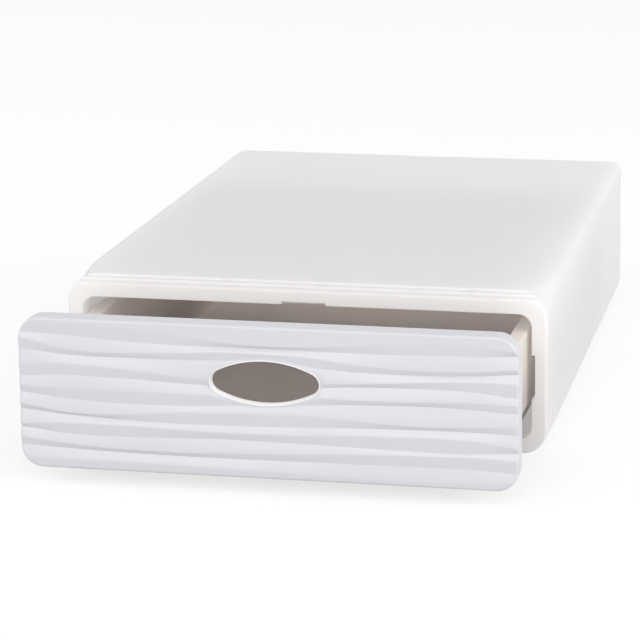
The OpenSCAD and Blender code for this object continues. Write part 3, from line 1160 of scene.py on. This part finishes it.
@dataclass
class DrawerTray:
    """The slide-in tray with its rolled rim, skids, stops and front plate.

    Attributes:
        panel: The front panel that it carries.
        length: Its length behind the plate, in millimetres like the rest.
        width: Width of its body.
        top: Height of its rim.
        low: Height of its underside.
        wall: Its wall thickness.
        corner: Plan radius of its rear corners.
        rim_width: Its width across the rolled rim.
        plate: Thickness of its front plate.
        play: Play between the plate and the panel's skirt.
        lip: Thickness of the rim's rolled lip.
        lip_low: Height of the long side lips' lower edge.
        skid_x: Distance of the skids from the middle.
        skid_low: Height of their underside.
        stop_x: Distance of the stops from the middle.
        stop_y: Their ends along Y.
        stop_low: Height of their underside.
    """

    panel: FrontPanel
    length: float = 350
    width: float = 236
    top: float = 69
    low: float = 10
    wall: float = 2.2
    corner: float = 14
    rim_width: float = 248
    plate: float = 2.2
    play: float = 0.25
    lip: float = 1.8
    lip_low: float = 27
    skid_x: float = 80
    skid_low: float = 8.6
    stop_x: float = 50
    stop_y: tuple[float, float] = (6.5, 9)
    stop_low: float = 4.5

    @property
    def plate_y(self) -> float:
        """Place of the plate's front face along Y."""
        return self.panel.front + self.panel.skin + 0.1

    @property
    def start(self) -> float:
        """Place of the plate's back face along Y."""
        return self.plate_y + self.plate

    def plan(self, wider: float, z: float) -> Ring:
        """The tray's plan at a height.

        Args:
            wider: How far its sides and rear are drawn outwards.
            z: The height.

        Returns:
            The ring.
        """
        half, radius, steps = self.width / 2 + wider, max(self.corner + wider, 0.5), 12
        front, rear = self.start - self.plate / 2, self.start + self.length + wider
        ring = [(-half, front), (half, front)]
        for x, first in ((half - radius, 0), (radius - half, 90)):
            for k in range(steps + 1):
                turn = math.radians(first + 90 * k / steps)
                ring.append((x + radius * math.cos(turn), rear - radius + radius * math.sin(turn)))
        return [(x * MM, y * MM, z * MM) for x, y in ring]

    def rings(self) -> list[Ring]:
        """All stations from the floor inside, over the rolled rim, to the underside.

        Returns:
            The rings.
        """
        over, ease, fillet, top = (self.rim_width - self.width) / 2, 0.9, 3, self.top
        floor, inner = self.low + self.wall, over - self.lip
        found = [self.plan(-self.wall - fillet * (1 - s), floor + fillet * c) for s, c in quarter(5)]
        found += [self.plan(-self.wall, top - ease)]
        found += [self.plan(-self.wall + ease * c, top - ease * (1 - s)) for s, c in quarter(4)[1:]]
        found += [self.plan(over - ease * (1 - s), top - ease * c) for s, c in quarter(4)]
        lip = ((over, 5.6), (over - 0.4, 6), (inner + 0.4, 6), (inner, 5.6), (inner, 2.3), (inner - 0.3, 2))
        found += [self.plan(wider, top - down) for wider, down in (*lip, (0.3, 2), (0, 2.3))]
        found += [self.plan(-fillet * c, self.low + fillet * (1 - s)) for s, c in quarter(5)]
        return found

    def front_plate(self) -> bpy.types.Object:
        """The plate that the front panel snaps on, with its hook slots.

        Returns:
            The plate.
        """
        p, ease, half_slot, tall = self.panel, 0.3, 1.6, 4.6
        inside = p.skirt + self.play
        half, radius = p.width / 2 - inside, p.corner - inside
        low, high = p.low + inside, p.low + p.height - inside
        rings = []
        for back, d in ((0, ease), (ease, 0), (self.plate - ease, 0), (self.plate, ease)):
            r, at = radius - d, self.plate_y + back
            rings.append(upright_ring(half - d, low + d, high - d, r, r, at))
        made = loft("front_plate", rings)
        for x in (-p.hook_x, p.hook_x):
            for z in p.hook_z:
                near = (x - half_slot, self.plate_y - 2, z - tall)
                combine("DIFFERENCE", made, bar("slot", near, (x + half_slot, self.start + 2, z + tall)))
        return made

    def ribs(self) -> list[bpy.types.Object]:
        """The rim's long side lips, the skids on the floor rails and the stops.

        Returns:
            The ribs.
        """
        made, start, out = [], self.start, self.rim_width / 2
        rear = start + self.length - self.corner
        for side in (-1, 1):
            near, far = sorted((side * (out - self.lip), side * out))
            made.append(bar("lip", (near, start - 1, self.lip_low), (far, rear - 1, self.top - 4), 0.3))
            x, half, under = side * self.skid_x, 1.5, self.skid_low
            made.append(bar("skid", (x - half, start + 7.5, under), (x + half, rear, self.low + 0.4), 0.4))
            x, half, (near, far) = side * self.stop_x, 10, self.stop_y
            made.append(bar("stop", (x - half, near, self.stop_low), (x + half, far, self.low + 0.5), 0.3))
        return made

    def build(self) -> bpy.types.Object:
        """Builds and dresses the tray.

        Returns:
            The tray.
        """
        tray = loft("tray", self.rings())
        combine("UNION", tray, self.front_plate())
        combine("UNION", tray, *self.ribs())
        combine("DIFFERENCE", tray, self.panel.hole.waste(self.plate_y - 2, self.start + 2))
        finish_surface(tray, angle=38)
        dress(tray, Finish.TRAY, "drawer", "drawer_tray")
        return tray


# ---- studio


@dataclass(frozen=True)
class Lamp:
    """A soft square lamp that points at the box.

    Attributes:
        name: Its name.
        place: Where it hangs, in metres.
        power: Its power in watts.
        tint: Its colour.
        size: The length of its sides.
        aim: What it points at.
    """

    name: str
    place: Point
    power: float
    tint: Point = (1.0, 1.0, 1.0)
    size: float = 1.5
    aim: Point = (0.0, -0.05, 0.04)

    def build(self) -> None:
        """Hangs the lamp."""
        data = bpy.data.lights.new(self.name, "AREA")
        data.shape = "SQUARE"
        data.size = self.size
        data.energy = self.power
        data.color = self.tint
        made = bpy.data.objects.new(self.name, data)
        bpy.context.scene.collection.objects.link(made)
        made.location = self.place
        way = Vector(self.aim) - Vector(self.place)
        made.rotation_euler = way.to_track_quat("-Z", "Y").to_euler()


@dataclass
class Studio:
    """Camera, lights, floor and surroundings.

    Attributes:
        azimuth: The camera's turn round the box, in degrees.
        elevation: Its height above the horizon, in degrees.
        roll: Its roll, in degrees.
        frame: Width of the square frame in pixels.
        sensor: Width of the camera's sensor in millimetres.
        focal: Its focal length in pixels.
        middle: The pixel its axis goes through.
        shift: The box's place before the camera, in millimetres.
        origin_y: Place of the rim's plane along Y.
        lamps: The lamps.
        world: Strength of the even light from all around.
        tint: Its colour.
    """

    azimuth: float = 12.697
    elevation: float = 12.011
    roll: float = -0.728
    frame: float = 640
    sensor: float = 36
    focal: float = 3073.9
    middle: tuple[float, float] = (315.0, 193.9)
    shift: Point = (-5.48, -137.85, 1704.2)
    origin_y: float = -185.0
    lamps: tuple[Lamp, ...] = (
        Lamp("front", (-0.5, -2.7, 0.8), 25, (1.0, 0.99, 0.975)),
        Lamp("front_right", (1.3, -2.2, 1.0), 18),
        Lamp("right", (2.6, -0.3, 0.9), 31),
        Lamp("left", (-2.5, 0.0, 1.2), 16),
    )
    world: float = 0.72
    tint: Point = (0.98, 0.99, 1.0)

    def camera(self) -> bpy.types.Object:
        """Sets up the camera.

        Returns:
            The camera.
        """
        a, e, r = (math.radians(v) for v in (self.azimuth, self.elevation, self.roll))
        back = Vector((math.sin(a) * math.cos(e), -math.cos(a) * math.cos(e), math.sin(e)))
        right = Vector((0, 0, 1)).cross(back).normalized()
        up = back.cross(right)
        turn = Matrix((right, up, back)).transposed() @ Matrix.Rotation(r, 3, "Z")
        tx, ty, tz = self.shift
        place = (turn @ Vector((-tx, -ty, tz)) + Vector((0, self.origin_y, 0))) * MM
        data = bpy.data.cameras.new("camera")
        data.sensor_width = self.sensor
        data.sensor_fit = "HORIZONTAL"
        data.lens = self.focal * self.sensor / self.frame
        data.shift_x = (self.frame / 2 - self.middle[0]) / self.frame
        data.shift_y = (self.middle[1] - self.frame / 2) / self.frame
        data.clip_start, data.clip_end = 0.05, 50
        made = bpy.data.objects.new("camera", data)
        bpy.context.scene.collection.objects.link(made)
        made.matrix_world = Matrix.Translation(place) @ turn.to_4x4()
        bpy.context.scene.camera = made
        return made

    def seen(self, sheet: NodeSheet) -> Sum:
        """Tells the rays that show a thing from those that light one.

        Args:
            sheet: The sheet that the nodes are added to.

        Returns:
            1 for rays from the camera and through or off shiny surfaces, otherwise 0.
        """
        path = sheet.node("ShaderNodeLightPath")
        names = ("Is Camera Ray", "Is Glossy Ray", "Is Transmission Ray")
        camera, glossy, through = (Sum(sheet, path.outputs[name]) for name in names)
        return camera + glossy + through

    def floor(self) -> bpy.types.Object:
        """A plain pale floor that shows white and keeps the box's shadow.

        Returns:
            The floor.
        """
        made = added("studio_floor", bpy.ops.mesh.primitive_plane_add, size=12, location=(0, 0, 0))
        material = bpy.data.materials.new("studio_floor")
        sheet = NodeSheet.of_material(material)
        seen = self.seen(sheet)
        unseen_paint, seen_paint, glow = (0.6, 0.6, 0.6, 1), (0.97, 0.97, 0.97, 1), 0.7
        pale = sheet.node("ShaderNodeMix", {"data_type": "RGBA"}, {0: seen, 6: unseen_paint, 7: seen_paint})
        paint = sheet.node("ShaderNodeBsdfDiffuse", None, {"Color": pale.outputs[2]})
        white = sheet.node("ShaderNodeEmission", None, {"Color": (1, 1, 1, 1), "Strength": 1.0})
        sides = {0: seen * glow, 1: paint.outputs[0], 2: white.outputs[0]}
        mix = sheet.node("ShaderNodeMixShader", None, sides)
        sheet.node("ShaderNodeOutputMaterial", None, {"Surface": mix.outputs[0]})
        made.data.materials.append(material)
        return made

    def surroundings(self) -> None:
        """Lights the box evenly from a world that the camera sees as white."""
        world = bpy.data.worlds.new("studio")
        bpy.context.scene.world = world
        world.use_nodes = True
        sheet = NodeSheet(world.node_tree)
        lit = sheet.node("ShaderNodeBackground", None, {"Color": (*self.tint, 1), "Strength": self.world})
        shown = sheet.node("ShaderNodeBackground", None, {"Color": (1, 1, 1, 1), "Strength": 1.0})
        sides = {0: self.seen(sheet), 1: lit.outputs[0], 2: shown.outputs[0]}
        mix = sheet.node("ShaderNodeMixShader", None, sides)
        sheet.node("ShaderNodeOutputWorld", None, {"Surface": mix.outputs[0]})

    def build(self) -> None:
        """Sets up the whole studio."""
        self.camera()
        self.floor()
        self.surroundings()
        for lamp in self.lamps:
            lamp.build()


def main() -> None:
    """Builds the box and its studio."""
    logging.basicConfig(level=logging.INFO, format="%(name)s: %(message)s")
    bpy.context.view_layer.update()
    panel = FrontPanel()
    for part in (DrawerCase(), panel, DrawerTray(panel)):
        LOG.info("built %s", part.build().name)
    Studio().build()
    bpy.context.scene.view_settings.view_transform = "Standard"
    bpy.context.view_layer.update()


if __name__ == "__main__":
    main()
